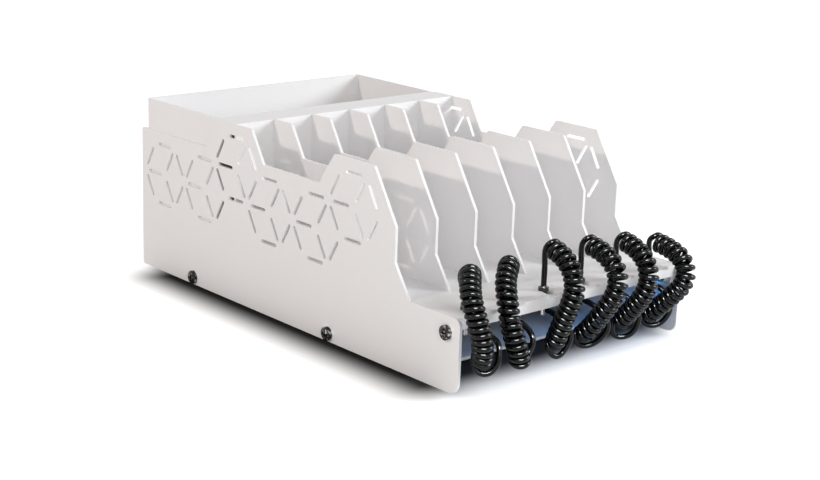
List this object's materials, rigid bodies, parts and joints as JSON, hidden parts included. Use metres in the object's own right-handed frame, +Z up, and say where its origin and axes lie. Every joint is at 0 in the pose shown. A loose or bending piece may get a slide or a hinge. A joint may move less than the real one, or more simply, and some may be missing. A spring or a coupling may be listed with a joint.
{
  "type": "charging station organizer",
  "caption": "Desktop charging organizer: stepped sheet-metal plates form upright device bays with an open rear box, and curly cords from a hub below dock in notches at the front.",
  "frame": {"origin": "bottom centre of the housing without its cords, on the surface that the feet stand on", "axes": "+Z up, -Y towards the front edge where the cords dock, +X along the row of bays, to the right when seen from the front"},
  "size_m": [0.2074, 0.3666, 0.1275],
  "materials": {
    "white_sheet": "satin powder coat",
    "zinc_steel": "zinc plated",
    "black_rubber": "smooth, slightly glossy",
    "black_plastic": "moulded, semi-gloss",
    "green_board": "solder mask",
    "plated_shell": "nickel plated",
    "blue_plastic": "moulded",
    "blue_lens": "clear tinted lens",
    "grey_plastic": "fine texture",
    "white_wire": "matt sleeve",
    "red_rocker": "moulded, glossy"
  },
  "bodies": {
    "housing": {"left_side_panel": "white_sheet", "right_side_panel": "white_sheet", "divider_1": "white_sheet", "divider_2": "white_sheet", "divider_3": "white_sheet", "divider_4": "white_sheet", "divider_5": "white_sheet", "device_shelf": "white_sheet", "front_rail": "white_sheet", "cable_duct": "white_sheet", "storage_box": "white_sheet", "base_pan": "white_sheet", "panel_screws": "zinc_steel", "feet": "black_rubber", "hub_case": "black_plastic", "hub_board": "green_board", "hub_ports": "plated_shell", "port_inserts": "blue_plastic", "hub_nuts": "zinc_steel", "status_lights": "blue_lens", "charge_connector_1": "black_plastic", "charge_connector_2": "black_plastic", "charge_connector_3": "black_plastic", "charge_connector_4": "black_plastic", "charge_connector_5": "black_plastic", "charge_connector_6": "black_plastic", "connector_tips": "plated_shell", "usb_plug_1": "black_plastic", "usb_plug_2": "black_plastic", "usb_plug_3": "black_plastic", "usb_plug_4": "black_plastic", "usb_plug_5": "black_plastic", "usb_plug_6": "black_plastic", "usb_shells": "plated_shell", "cord_1_lead": "black_rubber", "cord_1_coil": "black_rubber", "cord_1_tail": "black_rubber", "cord_2_lead": "black_rubber", "cord_2_coil": "black_rubber", "cord_2_tail": "black_rubber", "cord_3_lead": "black_rubber", "cord_3_coil": "black_rubber", "cord_3_tail": "black_rubber", "cord_4_lead": "black_rubber", "cord_4_coil": "black_rubber", "cord_4_tail": "black_rubber", "cord_5_lead": "black_rubber", "cord_5_coil": "black_rubber", "cord_5_tail": "black_rubber", "cord_6_lead": "black_rubber", "cord_6_coil": "black_rubber", "cord_6_tail": "black_rubber", "power_supply": "grey_plastic", "dc_lead": "black_rubber", "mains_wires": "white_wire", "mains_inlet": "black_plastic", "inlet_pins": "plated_shell", "switch_housing": "black_plastic"},
    "rocker": {"switch_rocker": "red_rocker"}
  },
  "joints": [
    {"name": "rocker_tilt", "type": "hinge", "parent": "housing", "child": "rocker", "pos_m": [-0.02, 0.16495, 0.026], "axis": [1, 0, 0], "range_deg": [0, 24]}
  ]
}
